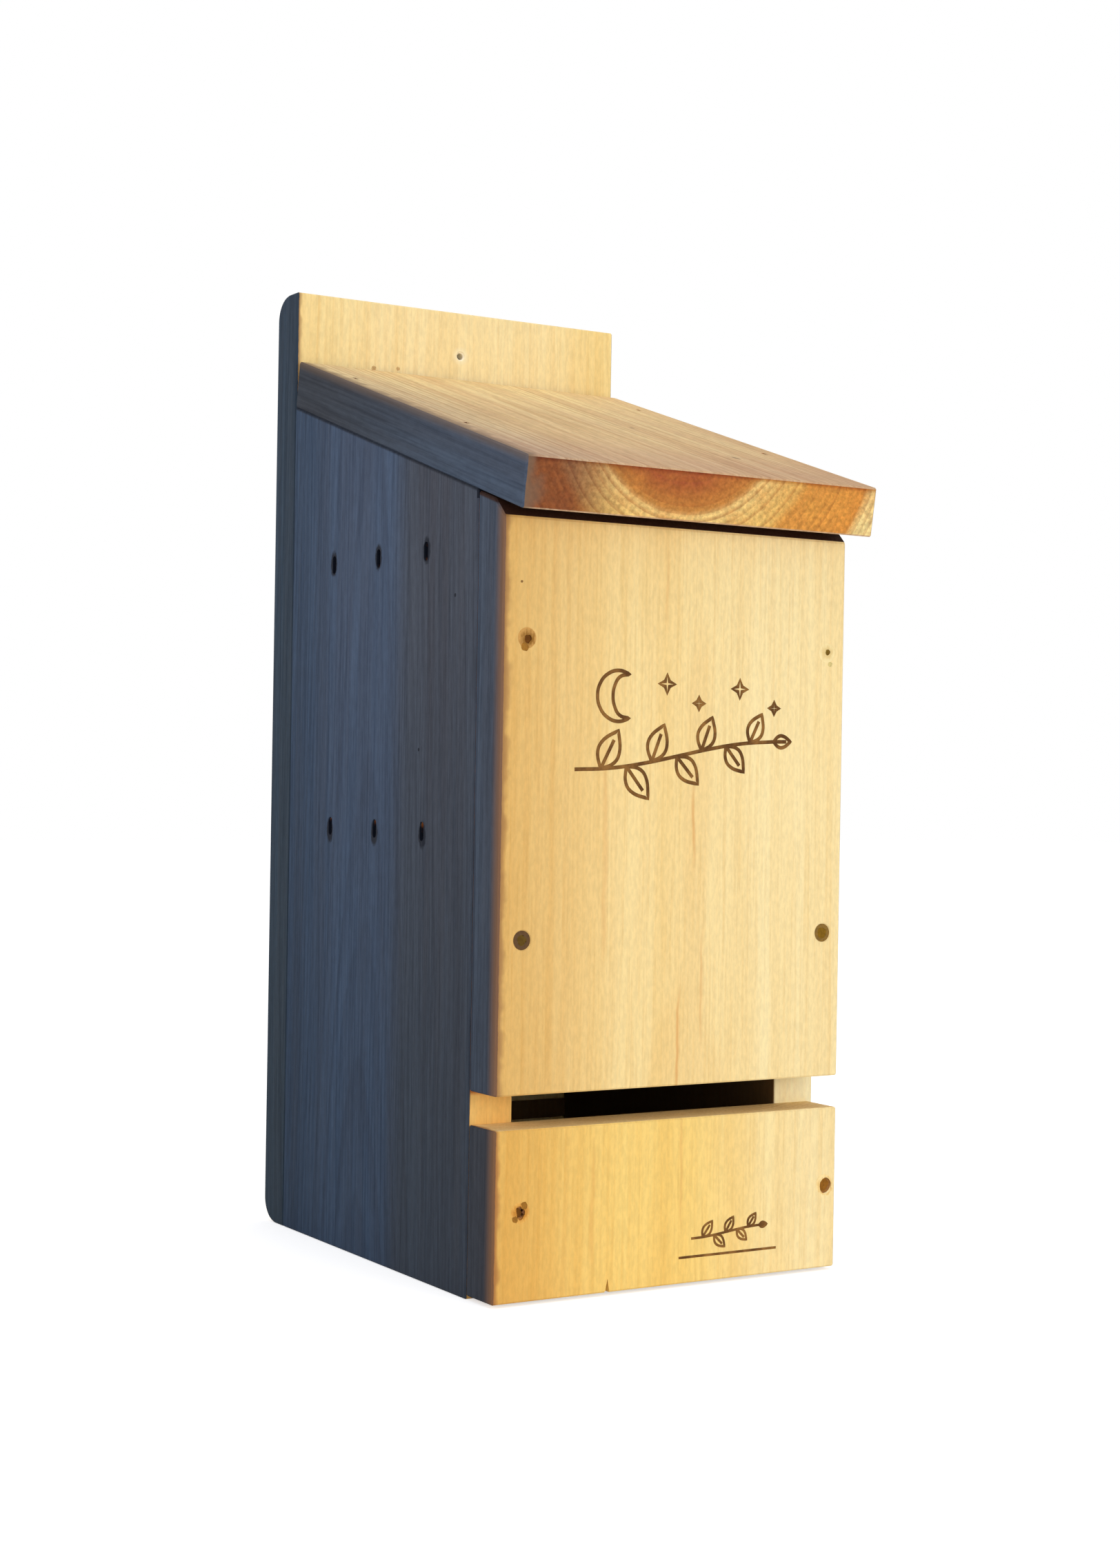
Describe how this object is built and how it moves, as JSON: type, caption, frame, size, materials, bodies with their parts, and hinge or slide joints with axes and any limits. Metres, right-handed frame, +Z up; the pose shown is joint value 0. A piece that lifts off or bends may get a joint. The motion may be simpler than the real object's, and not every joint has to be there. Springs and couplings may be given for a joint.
{
  "type": "bat box",
  "caption": "Wooden bat box: tall back board with a hanging hole, sloping board roof, front in two panels with a vent slot between, grooved upright roost boards, open bottom.",
  "frame": {"origin": "middle of the whole box's footprint, in the plane it stands on", "axes": "+X to the right as seen from the front, -Y out of the front panels, +Z up"},
  "size_m": [0.184, 0.2466, 0.46],
  "materials": {
    "front_wood": "matte",
    "stained_wood": "matte",
    "roof_wood": "matte",
    "screw_steel": "satin",
    "nail_steel": "satin"
  },
  "bodies": {
    "root": {"back_board": "front_wood", "left_side": "stained_wood", "right_side": "stained_wood", "roof_board": "roof_wood", "upper_front_panel": "front_wood", "lower_front_panel": "front_wood", "rear_partition": "front_wood", "middle_partition": "front_wood", "front_partition": "front_wood", "upper_panel_screws": "screw_steel", "lower_panel_screws": "screw_steel", "left_roof_nails": "nail_steel", "right_roof_nails": "nail_steel", "left_back_staples": "nail_steel", "right_back_staples": "nail_steel", "rear_partition_staples": "nail_steel", "middle_partition_staples": "nail_steel", "front_partition_staples": "nail_steel"}
  },
  "joints": []
}
